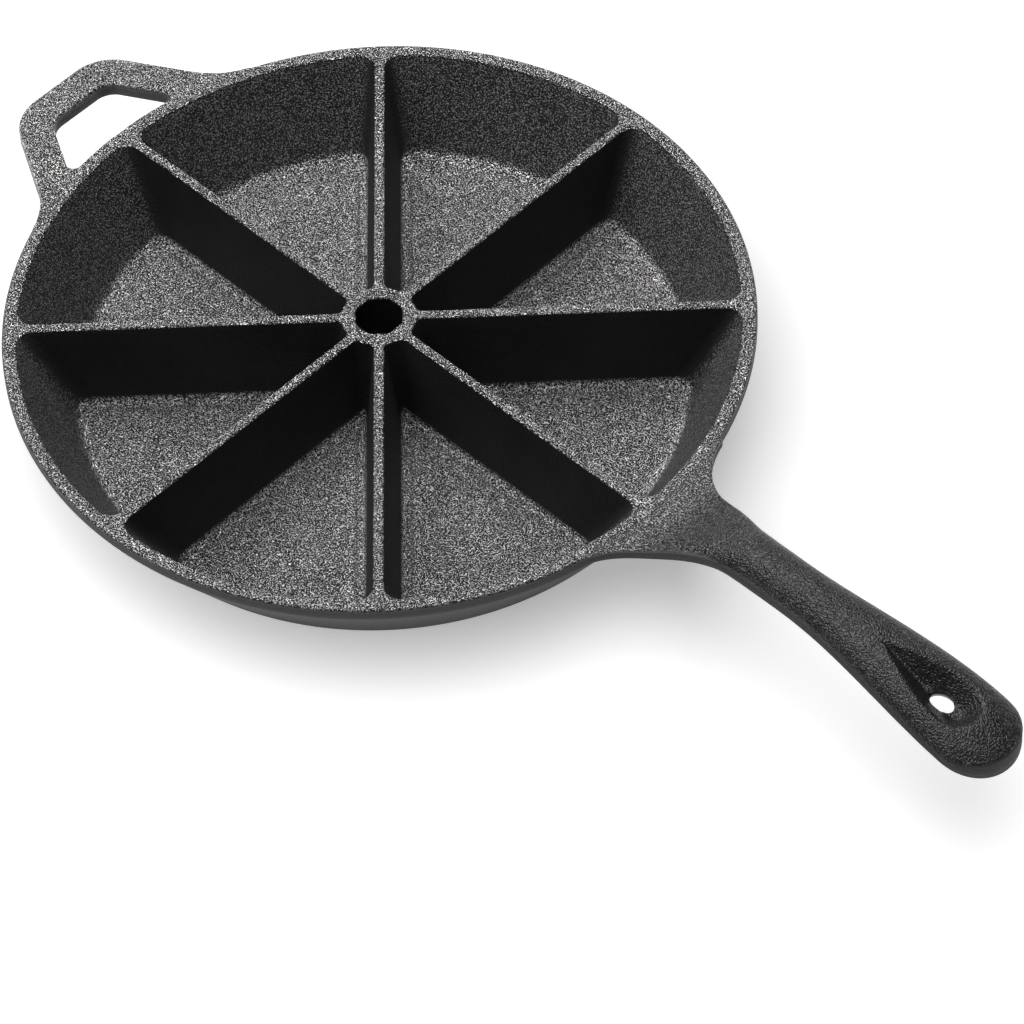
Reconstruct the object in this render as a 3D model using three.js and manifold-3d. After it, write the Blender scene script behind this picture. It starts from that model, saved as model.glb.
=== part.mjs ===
// A round cast iron pan with eight wedge pockets, a loop helper handle and a long crowned handle.
// Millimetres, +Z up. The origin is on the pan's axis at the face it stands on, +X along the long handle.
import * as THREE from 'three';
import { mergeVertices } from 'three/addons/utils/BufferGeometryUtils.js';
import Module from 'manifold-3d';

const wasm = await Module();
wasm.setup();

// Pan body
const panHeight = 38;
const rimRadius = 127;
const rimWidth = 4.6;
const rimBand = 4;
const baseRadius = 105;
const baseThickness = 5.2;
const baseEdgeRadius = 2;
const wallThickness = 4.7;
const wallFillet = 6;

// Dividers and hub
const pocketCount = 8;
const ribWidth = 3.7;
const ribDraftDegrees = 7.4;
const ribFillet = 2.5;
const hubRadius = 12.8;
const hubCollar = 7;
const wellRadius = 8;
const pocketRimCorner = 5.5;
const pocketHubCorner = 2.4;
const pocketLeastCorner = 0.6;

// Helper handle
const helperReach = 33.4;
const helperThickness = 6.5;
const helperTipHalfWidth = 20;
const helperFootHalfWidth = 38;
const helperCorner = 14;
const helperFootFillet = 25;
const helperTipBar = 12;
const helperSideBar = 11.6;
const helperHoleCorner = 6;

// Long handle: places along it are counted outwards from the rim
const handleReach = 152;
const gussetHalfWidth = 35.5;
const gussetThickness = 3.9;
const gussetCurve = 16;
const gussetBelly = 0.8;
const gussetLength = 27;
const neckAt = 51;
const neckWidth = 19.1;
const neckCurve = 30;
const neckBand = 2;
const neckBelly = 4.5;
const gripFrom = 60;
const gripWidth = 32.2;
const gripBelly = 1.5;
const crownHeight = 6;
const riseFrom = 1;
const riseTo = 42;
const riseHeight = 14;
const droopFrom = 68;
const droopHeight = 10;
const endDraft = 3;

// Teardrop recess and hang hole in the grip, placed from the rim like the rest of the handle
const recessTip = 98;
const recessEnd = 140;
const recessRadius = 7;
const recessDepth = 7;
const recessFloorInset = 2.5;
const recessTipInset = 5;
const hangHoleAt = 123.5;
const hangHoleLength = 12;
const hangHoleWidth = 8;

// Clearance between neighbouring regions of the casting
const seam = 0.3;

// How finely round shapes are divided, and how far a cutting shape runs past what it cuts
const turnSegments = 96;
const hubSegments = 48;
const steps = {
  edge: 3, corner: 4, fillet: 5, arc: 6, end: 7, belly: 8, crown: 10, flare: 12, drop: 14, oval: 24,
};
const overshoot = 5;
const clearHeight = panHeight + riseHeight + crownHeight + overshoot;

const iron = { color: 0x2b2a29, roughness: 0.62, metalness: 0.55 };

// Geometry to a solid that can be cut and joined, and back
function toSolid(geometry) {
  const bare = geometry.clone();
  bare.deleteAttribute('normal');
  bare.deleteAttribute('uv');
  const merged = mergeVertices(bare, 1e-4);
  const vertProperties = new Float32Array(merged.attributes.position.array);
  const triVerts = new Uint32Array(merged.index.array);
  return new wasm.Manifold(new wasm.Mesh({ numProp: 3, vertProperties, triVerts }));
}

function toGeometry(solid) {
  const mesh = solid.getMesh();
  const geometry = new THREE.BufferGeometry();
  geometry.setAttribute('position', new THREE.Float32BufferAttribute(mesh.vertProperties, 3));
  geometry.setIndex(Array.from(mesh.triVerts));
  geometry.computeVertexNormals();
  return geometry;
}

// A profile of [radius, height] points, anticlockwise, turned about Z
function turned(profile, segments = turnSegments) {
  const points = profile.map(([radius, height]) => new THREE.Vector2(radius, height));
  return new THREE.LatheGeometry(points, segments).rotateX(Math.PI / 2);
}

// A flat outline of [x, y] points raised from one height to another
function raised(outline, low, high) {
  const shape = new THREE.Shape(outline.map(([x, y]) => new THREE.Vector2(x, y)));
  return new THREE.ExtrudeGeometry(shape, { depth: high - low, bevelEnabled: false }).translate(0, 0, low);
}

// A round cutter on the pan's axis
function axisCutter(radius, segments) {
  const profile = [[0, -overshoot], [radius, -overshoot], [radius, clearHeight], [0, clearHeight]];
  return toSolid(turned(profile, segments));
}

// Rings of equally many [x, y, z] points joined into a closed skin, with a fan over each end
function lofted(rings) {
  const count = rings[0].length;
  const mean = (ring, axis) => ring.reduce((sum, point) => sum + point[axis], 0) / count;
  const middle = (ring) => [0, 1, 2].map((axis) => mean(ring, axis));
  const points = [...rings.flat(), middle(rings[0]), middle(rings[rings.length - 1])];
  const lowMiddle = rings.length * count;
  const lastRing = lowMiddle - count;
  const faces = [];
  for (let i = 0; i < count; i++) {
    const next = (i + 1) % count;
    faces.push(lowMiddle, next, i, lowMiddle + 1, lastRing + i, lastRing + next);
    for (let low = 0; low < lastRing; low += count) {
      const high = low + count;
      faces.push(low + i, low + next, high + next, low + i, high + next, high + i);
    }
  }
  const geometry = new THREE.BufferGeometry();
  geometry.setAttribute('position', new THREE.Float32BufferAttribute(points.flat(), 3));
  geometry.setIndex(faces);
  return geometry;
}

// Numbers from one value to another, both included
function spaced(from, to, count) {
  return Array.from({ length: count + 1 }, (_, i) => from + (to - from) * i / count);
}

function arc([x, y], radius, from, to, count) {
  return spaced(from, to, count).map((angle) => [x + radius * Math.cos(angle), y + radius * Math.sin(angle)]);
}

// A round corner between two lines, from the first line to the second
function roundCorner(before, corner, after, radius) {
  const at = new THREE.Vector2(...corner);
  const back = new THREE.Vector2(...before).sub(at).normalize();
  const on = new THREE.Vector2(...after).sub(at).normalize();
  const half = Math.acos(back.dot(on)) / 2;
  const run = radius / Math.tan(half);
  const centre = back.clone().add(on).normalize().multiplyScalar(radius / Math.sin(half)).add(at);
  const start = at.clone().addScaledVector(back, run).sub(centre).angle();
  const end = at.clone().addScaledVector(on, run).sub(centre).angle();
  const sweep = THREE.MathUtils.euclideanModulo(end - start + Math.PI, 2 * Math.PI) - Math.PI;
  return arc([centre.x, centre.y], radius, start, start + sweep, steps.corner);
}

const { lerp, smoothstep } = THREE.MathUtils;
const acrossX = ([x, y]) => [x, -y];

// The wall leans out from the base to the rim band; inside it leans from the floor to the rim's edge
const wallFlare = (rimRadius - baseRadius) / (panHeight - rimBand);
const outerAt = (height) => Math.min(baseRadius + wallFlare * height, rimRadius);
const floorRadius = outerAt(baseThickness) - wallThickness;
const pocketDepth = panHeight - baseThickness;
const innerSlope = (rimRadius - rimWidth - floorRadius) / pocketDepth;
const ribSlope = Math.tan(THREE.MathUtils.degToRad(ribDraftDegrees));
const ribFootHalfWidth = ribWidth / 2 + ribSlope * pocketDepth;
const hubFootRadius = hubRadius + ribSlope * pocketDepth;
const seatHeight = baseThickness + seam;
const pitch = 2 * Math.PI / pocketCount;
const noseTurn = 0.98 * pitch / 2;

// The height over the floor where a fillet runs out into a side that leans out by slope
const filletRise = (slope, fillet) => fillet * (1 - slope / Math.hypot(1, slope));

// Where a pocket's side stands at a height. It leans out from its foot, which a fillet rounds into the floor.
function sideAt(height, foot, slope, fillet) {
  const lift = height - baseThickness;
  if (lift >= filletRise(slope, fillet)) return foot + slope * lift;
  const centre = foot + slope * fillet - fillet * Math.hypot(1, slope);
  return centre + Math.sqrt(fillet * fillet - (fillet - lift) ** 2);
}

const wallAt = (height) => sideAt(height, floorRadius, innerSlope, wallFillet);
const ribHalfAt = (height) => -sideAt(height, -ribFootHalfWidth, ribSlope, ribFillet);
const hubAt = (height) => -sideAt(height, -hubFootRadius, ribSlope, ribFillet);

// Heights from a start up to the rim, closer together in the fillets
function levelsFrom(start) {
  const tallest = Math.max(filletRise(innerSlope, wallFillet), filletRise(ribSlope, ribFillet));
  const filletTop = baseThickness + tallest;
  return [...spaced(0, 1, steps.fillet).map((share) => lerp(start, filletTop, share * share)), panHeight];
}

// The floor, with the lowest part of the flared wall as its edge
function basePlate() {
  const edgeCentre = [baseRadius - baseEdgeRadius, baseEdgeRadius];
  const edge = arc(edgeCentre, baseEdgeRadius, -Math.PI / 2, -Math.atan(wallFlare), steps.edge);
  return turned([[0, 0], ...edge, [outerAt(baseThickness), baseThickness], [0, baseThickness]]);
}

// The flared wall, with its fillet inside, the upright band outside and the flat rim on top
function sideWall() {
  const inside = levelsFrom(seatHeight).map((height) => [wallAt(height), height]).reverse();
  const foot = [outerAt(seatHeight), seatHeight];
  return turned([foot, [rimRadius, panHeight - rimBand], [rimRadius, panHeight], ...inside, foot]);
}

// One pocket's outline at a height, between the divider along +X and the next one anticlockwise. Where two
// dividers run together before they reach the hub, the pocket ends there in its least corner.
function pocketOutline(height) {
  const outer = wallAt(height);
  const half = ribHalfAt(height);
  const sine = Math.sin(noseTurn);
  const inner = Math.max(hubAt(height), (half + pocketLeastCorner) / sine);
  const hubCorner = Math.min(pocketHubCorner, (inner * sine - half) / (1 - sine));
  const hubTurn = Math.asin((half + hubCorner) / (inner + hubCorner));
  const hubCentre = [(half + hubCorner) / Math.tan(hubTurn), half + hubCorner];
  const rimTurn = Math.asin((half + pocketRimCorner) / (outer - pocketRimCorner));
  const rimCentre = [(half + pocketRimCorner) / Math.tan(rimTurn), half + pocketRimCorner];
  const firstHalf = [
    ...arc([0, 0], inner, pitch / 2, hubTurn, steps.edge),
    ...arc(hubCentre, hubCorner, hubTurn + Math.PI, 1.5 * Math.PI, steps.edge).slice(1),
    ...arc(rimCentre, pocketRimCorner, -Math.PI / 2, rimTurn, steps.fillet),
    ...arc([0, 0], outer, rimTurn, pitch / 2, steps.arc).slice(1),
  ];
  const cos = Math.cos(pitch);
  const sin = Math.sin(pitch);
  const acrossPocket = ([x, y]) => [x * cos + y * sin, x * sin - y * cos];
  return [...firstHalf, ...firstHalf.slice(1, -1).reverse().map(acrossPocket)];
}

function pocket() {
  const ringAt = (height, raisedTo = height) => pocketOutline(height).map(([x, y]) => [x, y, raisedTo]);
  const rings = levelsFrom(baseThickness).map((height) => ringAt(height));
  return lofted([...rings, ringAt(panHeight, panHeight + overshoot)]);
}

// The dividers and the hub are what is left of the bowl's filling once the pockets are taken out
const fillingSide = levelsFrom(seatHeight).map((height) => [wallAt(height) - seam, height]);
const filling = toSolid(turned([[0, seatHeight], ...fillingSide, [0, panHeight]]));
const onePocket = pocket();
const pocketAt = (index) => toSolid(onePocket.clone().rotateZ(index * pitch));
const hubSplit = hubFootRadius + hubCollar;

function divider() {
  const reach = 2 * rimRadius;
  const side = [reach * Math.cos(pitch / 2), reach * Math.sin(pitch / 2)];
  const sector = toSolid(raised([[0, 0], acrossX(side), side], 0, panHeight + overshoot));
  const beside = filling.subtract(pocketAt(0)).subtract(pocketAt(-1));
  return toGeometry(beside.intersect(sector).subtract(axisCutter(hubSplit + seam, hubSegments)));
}

function hub() {
  const well = axisCutter(wellRadius, hubSegments);
  let ring = filling.intersect(axisCutter(hubSplit, hubSegments)).subtract(well);
  for (let index = 0; index < pocketCount; index++) ring = ring.subtract(pocketAt(index));
  return toGeometry(ring);
}

// A flat bow flush with the rim, drawn towards +X. Its hole reaches the rim, and each foot runs into the
// rim's circle along a hollow curve.
function helperHandle() {
  const tip = rimRadius + helperReach;
  const foot = [rimRadius, helperFootHalfWidth];
  const tipCorner = [tip, helperTipHalfWidth];
  const normal = new THREE.Vector2(helperFootHalfWidth - helperTipHalfWidth, helperReach).normalize();
  const offset = normal.dot(new THREE.Vector2(...foot));
  const hollowReach = rimRadius + helperFootFillet;
  const hollowTurn = normal.angle() - Math.acos((offset + helperFootFillet) / hollowReach);
  const hollowCentre = [hollowReach * Math.cos(hollowTurn), hollowReach * Math.sin(hollowTurn)];
  const side = [
    ...arc(hollowCentre, helperFootFillet, hollowTurn + Math.PI, normal.angle() + Math.PI, steps.arc),
    ...roundCorner(foot, tipCorner, [tip, 0], helperCorner),
  ];
  const outline = [[0, 0], ...side.map(acrossX), ...side.reverse()];

  const far = tip - helperTipBar;
  const holeHalfAt = (x) => (offset - helperSideBar - normal.x * x) / normal.y;
  const holeFoot = [rimRadius - overshoot, holeHalfAt(rimRadius - overshoot)];
  const holeCorner = roundCorner(holeFoot, [far, holeHalfAt(far)], [far, 0], helperHoleCorner);
  const holeSide = [holeFoot, ...holeCorner];
  const hole = [...holeSide.map(acrossX), ...holeSide.reverse()];

  const low = panHeight - helperThickness;
  const bow = toSolid(raised(outline, low, panHeight)).subtract(axisCutter(rimRadius + seam));
  return toGeometry(bow.subtract(toSolid(raised(hole, low - overshoot, panHeight + overshoot))));
}

// The long handle in sections across X. It leaves the rim as a flat gusset, rises and narrows to a crowned
// neck, widens to the grip and droops towards its round end.
const gripTo = handleReach - gripWidth / 2;
const endTurn = 0.9 * Math.PI / 2;

function midHeightAt(place) {
  const droop = Math.max(0, (place - droopFrom) / (handleReach - droopFrom)) ** 2;
  const rise = riseHeight * smoothstep(place, riseFrom, riseTo);
  return panHeight - gussetThickness / 2 + rise - droopHeight * droop;
}

const bandAt = (place) => lerp(gussetThickness, neckBand, smoothstep(place, 0, neckAt));
const crownAt = (place) => crownHeight * smoothstep(place, 0, neckAt);
const crestAt = (place) => midHeightAt(place) + bandAt(place) / 2 + crownAt(place);

function bellyAt(place) {
  const toNeck = lerp(gussetBelly, neckBelly, smoothstep(place, 0, neckAt));
  return lerp(toNeck, gripBelly, smoothstep(place, gripFrom, gripTo));
}

// A section's full half-width sets its crown, and its trimmed half-width is where the outline cuts it. At
// the round end the upper outline stands back, which gives the end its draft.
function handleSection({ full, lower, upper }) {
  const dome = (y) => Math.sqrt(Math.max(0, 1 - (y / full) ** 2));
  const over = (place, y) => midHeightAt(place) + bandAt(place) / 2 + crownAt(place) * dome(y);
  const under = (place, y) => midHeightAt(place) - bandAt(place) / 2 - bellyAt(place) * dome(y);
  const across = (half, count) => spaced(0, Math.PI, count).map((angle) => half * Math.cos(angle));
  const line = (place, ys, heightAt) => ys.map((y) => [rimRadius + place, y, heightAt(place, y)]);
  return [
    ...line(upper.place, across(upper.trimmed, steps.crown), over),
    ...line(lower.place, across(-lower.trimmed, steps.belly), under),
  ];
}

// A section between the two edges of an untrimmed stretch
function plainSection(place, half) {
  const edge = { place, trimmed: half };
  return { full: half, lower: edge, upper: edge };
}

function handleSections() {
  const spread = Math.asin(gussetHalfWidth / rimRadius);
  const start = new THREE.Vector2(rimRadius * Math.cos(spread), gussetHalfWidth);
  const leave = new THREE.Vector2(Math.sin(spread), -Math.cos(spread)).multiplyScalar(gussetCurve);
  const neck = new THREE.Vector2(rimRadius + neckAt, neckWidth / 2);
  const reach = neck.clone().sub(new THREE.Vector2(neckCurve, 0));
  const flare = new THREE.CubicBezierCurve(start, leave.add(start), reach, neck);
  const gusset = flare.getPoints(steps.flare).map(({ x, y }) => plainSection(x - rimRadius, y));
  const halfAt = (place) => lerp(neckWidth, gripWidth, smoothstep(place, gripFrom, gripTo)) / 2;
  const places = spaced(neckAt, gripTo, steps.crown).slice(1);
  const grip = places.map((place) => plainSection(place, halfAt(place)));
  const endRadius = gripWidth / 2;
  const edgeAt = (angle, radius) => (
    { place: gripTo + radius * Math.sin(angle), trimmed: radius * Math.cos(angle) }
  );
  const end = spaced(0, endTurn, steps.end).slice(1).map((angle) => ({
    full: endRadius,
    lower: edgeAt(angle, endRadius),
    upper: edgeAt(angle, endRadius - endDraft * Math.sin(angle)),
  }));
  return [...gusset, ...grip, ...end];
}

const handle = toSolid(lofted(handleSections().map(handleSection))).subtract(axisCutter(rimRadius + seam));

// Everything beyond a place on the handle
function beyond(place) {
  const size = 2 * (rimRadius + handleReach);
  return toSolid(new THREE.BoxGeometry(size, size, size).translate(rimRadius + place + size / 2, 0, 0));
}

const handleGusset = () => toGeometry(handle.subtract(beyond(gussetLength)));

// A pointed drop that opens upwards: its floor sinks from the tip to its full depth
function recess() {
  const drop = (tip, end, radius, heightAt) => {
    const centre = end - radius;
    const lean = Math.asin(radius / (centre - tip)) + Math.PI / 2;
    const outline = [...arc([centre, 0], radius, -lean, lean, steps.drop), [tip, 0]];
    return outline.map(([place, y]) => [rimRadius + place, y, heightAt(place)]);
  };
  const floorAt = (place) => crestAt(place) - recessDepth * smoothstep(place, recessTip, hangHoleAt);
  const floorTip = recessTip + recessTipInset;
  const floorEnd = recessEnd - recessFloorInset;
  const floor = drop(floorTip, floorEnd, recessRadius - recessFloorInset, floorAt);
  const mouth = drop(recessTip, recessEnd, recessRadius, crestAt);
  const lid = mouth.map(([x, y, z]) => [x, y, z + overshoot]);
  return toSolid(lofted([floor, mouth, lid]));
}

function handleGrip() {
  const oval = new THREE.EllipseCurve(rimRadius + hangHoleAt, 0, hangHoleLength / 2, hangHoleWidth / 2);
  const outline = oval.getPoints(steps.oval).slice(0, -1).map(({ x, y }) => [x, y]);
  const hangHole = toSolid(raised(outline, 0, clearHeight));
  return toGeometry(handle.intersect(beyond(gussetLength + seam)).subtract(recess()).subtract(hangHole));
}

const pan = new THREE.Group();

function add(name, geometry, turn = 0) {
  const mesh = new THREE.Mesh(geometry, new THREE.MeshStandardMaterial(iron));
  mesh.name = name;
  mesh.rotation.z = turn;
  pan.add(mesh);
}

add('base_plate', basePlate());
add('side_wall', sideWall());
add('hub', hub());
const rib = divider();
for (let index = 0; index < pocketCount; index++) add(`divider_${index + 1}`, rib, index * pitch);
add('helper_handle', helperHandle(), Math.PI);
add('handle_gusset', handleGusset());
add('handle_grip', handleGrip());

export default pan;
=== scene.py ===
import math

import bmesh
import bpy
import numpy as np
from mathutils import Matrix, Vector


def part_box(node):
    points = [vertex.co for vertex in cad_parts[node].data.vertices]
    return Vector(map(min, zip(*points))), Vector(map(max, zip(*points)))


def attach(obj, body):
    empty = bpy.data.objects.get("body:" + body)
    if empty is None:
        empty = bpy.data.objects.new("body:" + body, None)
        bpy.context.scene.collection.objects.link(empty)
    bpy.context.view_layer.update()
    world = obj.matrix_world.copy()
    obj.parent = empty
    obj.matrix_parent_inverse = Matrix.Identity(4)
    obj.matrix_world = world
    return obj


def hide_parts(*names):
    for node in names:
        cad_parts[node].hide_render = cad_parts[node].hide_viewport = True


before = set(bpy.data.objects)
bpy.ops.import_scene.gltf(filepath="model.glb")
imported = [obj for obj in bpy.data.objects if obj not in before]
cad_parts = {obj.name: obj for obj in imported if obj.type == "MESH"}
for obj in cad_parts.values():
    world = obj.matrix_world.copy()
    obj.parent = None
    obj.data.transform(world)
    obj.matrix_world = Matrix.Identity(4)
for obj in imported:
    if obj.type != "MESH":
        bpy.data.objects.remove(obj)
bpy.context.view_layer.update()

mm = 0.001
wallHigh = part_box("side_wall")[1] / mm
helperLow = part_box("helper_handle")[0] / mm
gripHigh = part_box("handle_grip")[1] / mm
panHeight = wallHigh.z
rimRadius = wallHigh.x
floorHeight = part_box("base_plate")[1].z / mm


# rows of points in millimetres, joined into faces as they come
class Skin:
    def __init__(self):
        self.points = []
        self.faces = []
        self.grain = []
        self.wear = []

    def row(self, points, grain=1.0, wear=0.0):
        start = len(self.points)
        count = len(points)
        self.points.extend(tuple(point) for point in points)
        self.grain.extend(np.broadcast_to(grain, count))
        self.wear.extend(np.broadcast_to(wear, count))
        return list(range(start, start + count))

    def bridge(self, first, second, closed=False):
        count = len(first)
        for i in range(count if closed else count - 1):
            j = (i + 1) % count
            self.faces.append((first[i], first[j], second[j], second[i]))

    def fan(self, row, centre, closed=False):
        count = len(row)
        for i in range(count if closed else count - 1):
            self.faces.append((row[i], row[(i + 1) % count], centre))

    # a profile of radii and heights, turned round the axis and closed in the middle
    def spin(self, profile, angles, grain, wear, stretch=1.0):
        cos, sin = np.cos(angles) * stretch, np.sin(angles) * stretch
        rows = []
        for (radius, height), rowGrain, rowWear in zip(profile, grain, wear):
            points = np.column_stack((radius * cos, radius * sin, np.full(len(cos), height)))
            rows.append(self.row(points, rowGrain, rowWear))
        for first, second in zip(rows, rows[1:]):
            self.bridge(first, second)
        self.fan(rows[-1], self.row([(0, 0, profile[-1][1])], grain[-1])[0])

    def build(self, name):
        mesh = bpy.data.meshes.new(name)
        mesh.from_pydata(np.array(self.points) * mm, [], self.faces)
        for label in ("grain", "wear"):
            layer = mesh.attributes.new(label, "FLOAT", "POINT")
            layer.data.foreach_set("value", np.array(getattr(self, label), np.float32))
        piece = bpy.data.objects.new(name, mesh)
        bpy.context.scene.collection.objects.link(piece)
        return piece


# a socket that takes part in sums; a Graph adds the Math nodes
class Wire:
    def __init__(self, graph, socket):
        self.graph = graph
        self.socket = socket

    def __add__(self, other):
        return self.graph.maths("ADD", self, other)

    def __radd__(self, other):
        return self.graph.maths("ADD", other, self)

    def __sub__(self, other):
        return self.graph.maths("SUBTRACT", self, other)

    def __rsub__(self, other):
        return self.graph.maths("SUBTRACT", other, self)

    def __mul__(self, other):
        return self.graph.maths("MULTIPLY", self, other)

    def __truediv__(self, other):
        return self.graph.maths("DIVIDE", self, other)

    def __rtruediv__(self, other):
        return self.graph.maths("DIVIDE", other, self)


class Graph:
    def __init__(self, tree):
        self.tree = tree

    # any node: its type, then its settings, then values or links for its sockets
    def add(self, kind, settings=None, values=None, out=0):
        node = self.tree.nodes.new(kind)
        for name, value in (settings or {}).items():
            setattr(node, name, value)
        for key, value in (values or {}).items():
            socket = node.inputs[key]
            if isinstance(value, Wire):
                self.tree.links.new(value.socket, socket)
            else:
                socket.default_value = value
        return Wire(self, node.outputs[out])

    def maths(self, operation, first, second):
        return self.add("ShaderNodeMath", {"operation": operation}, {0: first, 1: second})

    def noise(self, place, scale, detail, rough):
        return self.add("ShaderNodeTexNoise", {"noise_dimensions": "3D"}, {
            "Vector": place, "Scale": scale, "Detail": detail, "Roughness": rough})

    # how far a value is on its way from start to end, kept between 0 and 1
    def share(self, value, start, end):
        return self.add("ShaderNodeMapRange", None, {"Value": value, 1: start, 2: end})

    # a mix of two colours, which are sockets 6 and 7 of the node
    def blend(self, share, first, second):
        return self.add("ShaderNodeMix", {"data_type": "RGBA"}, {0: share, 6: first, 7: second}, out=2)


def smooth(low, high, value):
    share = np.clip((np.asarray(value, float) - low) / (high - low), 0, 1)
    return share * share * (3 - 2 * share)


def mix(first, second, share):
    return first + (second - first) * share


def arc(centre, radius, start, end, count):
    angles = np.linspace(start, end, count + 1)
    return np.column_stack((centre[0] + radius * np.cos(angles), centre[1] + radius * np.sin(angles)))


def line(start, end, count):
    return np.linspace(start, end, count + 1)


# several stretches of outline into one, without their shared ends
def chain(stretches):
    return np.vstack([stretches[0]] + [stretch[1:] for stretch in stretches[1:]])


def raise3(points, height):
    return np.column_stack((points, np.broadcast_to(height, len(points))))


castFinish = {
    "dark": (0.0026, 0.0023, 0.0021, 1),
    "speckAndGlint": (0.74, 0.732, 0.725, 1),        # bare-metal specks, pale enough to be partly painted glints
    "ground": (0.02, 0.0197, 0.0195, 1),    # smooth sides
    "grainSize": 0.48,      # millimetres between the bumps of the sand-cast skin
    "grainDepth": 0.9,
    "sandHeight": 0.75,     # shares of that depth
    "pitHeight": 0.45,
    "pitSize": 0.9,
    "pitSoftness": 0.4,
    "mottleSize": 26.0,
    "mottleTone": 0.02,
    "mottleRough": 0.12,
    "speckFrom": 0.51,      # the bumps are bare from here on
    "speckTo": 0.575,
    "wearShare": 0.015,
    "sparse": 0.05,
    "metal": 0.92,
    "speckGrain": 0.5,      # grain at which specks begin, are palest and are closest together
    "paleGrain": 0.75,
    "denseGrain": 0.9,
    "smoothGrain": 0.2,     # grain of the smooth sides, and of the dark skin
    "skinGrain": 0.36,
    "rough": 0.32,
    "smoothRough": 0.4,     # more on the smooth sides
    "mattRough": 0.45,      # more on the pocket walls
    "index": 1.5,
}


def ironMaterial():
    material = bpy.data.materials.new("seasonedIron")
    material.use_nodes = True
    tree = material.node_tree
    graph = Graph(tree)
    shader = tree.nodes["Principled BSDF"]
    place = graph.add("ShaderNodeTexCoord", out=3)
    grain = graph.add("ShaderNodeAttribute", {"attribute_name": "grain"}, out=2)
    wear = graph.add("ShaderNodeAttribute", {"attribute_name": "wear"}, out=2)
    sand = graph.noise(place, 1 / (castFinish["grainSize"] * mm), detail=0.0, rough=0.5)
    pits = graph.add("ShaderNodeTexVoronoi", {"feature": "SMOOTH_F1"}, {
        "Vector": place, "Scale": 1 / (castFinish["pitSize"] * mm), "Smoothness": castFinish["pitSoftness"]})
    mottle = graph.noise(place, 1 / (castFinish["mottleSize"] * mm), detail=3.0, rough=0.55)
    height = (sand * castFinish["sandHeight"] + pits * castFinish["pitHeight"]) * grain
    bump = graph.add("ShaderNodeBump", None, {
        "Strength": 1.0, "Distance": castFinish["grainDepth"] * mm, "Height": height})

    # pale bare-metal specks stand out of the dark skin where it is coarse, more of them where it is rubbed
    # and along the painted highlight strip on the fillets; they are partly painted glints
    coarse = graph.share(grain, castFinish["speckGrain"], castFinish["denseGrain"])
    strong = graph.share(grain, castFinish["speckGrain"], castFinish["paleGrain"])
    lay = sand + wear * castFinish["wearShare"] - (1 - coarse) * castFinish["sparse"]
    specksAndGlints = strong * graph.share(lay, castFinish["speckFrom"], castFinish["speckTo"])
    tone = graph.blend(specksAndGlints + mottle * castFinish["mottleTone"], castFinish["dark"], castFinish["speckAndGlint"])
    asCast = graph.share(grain, castFinish["smoothGrain"], castFinish["skinGrain"])
    skin = graph.blend(asCast, castFinish["ground"], tone)

    # wear below 0 is the matt skin of the pocket walls
    matt = graph.share(wear, 0.0, -1.0)
    rough = (castFinish["rough"] + (mottle - 0.5) * castFinish["mottleRough"]
             + (1 - asCast) * castFinish["smoothRough"] + matt * castFinish["mattRough"])
    tree.links.new(skin.socket, shader.inputs["Base Color"])
    tree.links.new((specksAndGlints * castFinish["metal"]).socket, shader.inputs["Metallic"])
    tree.links.new(rough.socket, shader.inputs["Roughness"])
    tree.links.new(bump.socket, shader.inputs["Normal"])
    shader.inputs["IOR"].default_value = castFinish["index"]
    return material


iron = ironMaterial()
print("materials done")


# cast skin: repeats a sector round the axis, makes the surface slightly uneven, sets the material
castSkin = {
    "uneven": 0.24,         # millimetres, from crest to hollow
    "waveSize": 11.0,
    "evenGrain": 0.35,      # grain up to which it stays even, and at which it is most uneven
    "unevenGrain": 1.0,
    "weld": 0.003,          # millimetres between the sectors' points that are joined
    "double": 0.002,        # points closer than this become one
    "sliver": 0.001,
}


def castTree():
    tree = bpy.data.node_groups.new("castSkin", "GeometryNodeTree")
    kinds = {"Sector": "Geometry", "Copies": "Int", "Uneven": "Float", "Wave": "Float", "Weld": "Float"}
    for name, kind in kinds.items():
        tree.interface.new_socket(name, in_out="INPUT", socket_type=f"NodeSocket{kind}")
    tree.interface.new_socket("Casting", in_out="OUTPUT", socket_type="NodeSocketGeometry")
    graph = Graph(tree)
    entry = tree.nodes.new("NodeGroupInput")
    sector, copies, uneven, wave, weld = (Wire(graph, socket) for socket in entry.outputs[:len(kinds)])
    points = graph.add("GeometryNodePoints", None, {"Count": copies})
    index = graph.add("GeometryNodeInputIndex")
    spin = graph.add("ShaderNodeCombineXYZ", None, {"Z": index * (2 * math.pi) / copies})
    turn = graph.add("FunctionNodeEulerToRotation", None, {"Euler": spin})
    ring = graph.add("GeometryNodeInstanceOnPoints", None, {
        "Points": points, "Instance": sector, "Rotation": turn})
    whole = graph.add("GeometryNodeRealizeInstances", None, {"Geometry": ring})
    welded = graph.add("GeometryNodeMergeByDistance", None, {"Geometry": whole, "Distance": weld})
    grain = graph.add("GeometryNodeInputNamedAttribute", {"data_type": "FLOAT"}, {"Name": "grain"})
    coarse = graph.share(grain, castSkin["evenGrain"], castSkin["unevenGrain"])
    place = graph.add("GeometryNodeInputPosition")
    normal = graph.add("GeometryNodeInputNormal")
    swell = graph.noise(place, 1 / wave, detail=1.0, rough=0.5)
    push = graph.add("ShaderNodeVectorMath", {"operation": "SCALE"}, {
        0: normal, "Scale": (swell - 0.5) * coarse * uneven})
    skin = graph.add("GeometryNodeSetPosition", None, {"Geometry": welded, "Offset": push})
    soft = graph.add("GeometryNodeSetShadeSmooth", None, {"Geometry": skin})
    done = graph.add("GeometryNodeSetMaterial", None, {"Geometry": soft, "Material": iron})
    leave = tree.nodes.new("NodeGroupOutput")
    tree.links.new(done.socket, leave.inputs[0])
    return tree


castGroup = castTree()


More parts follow.
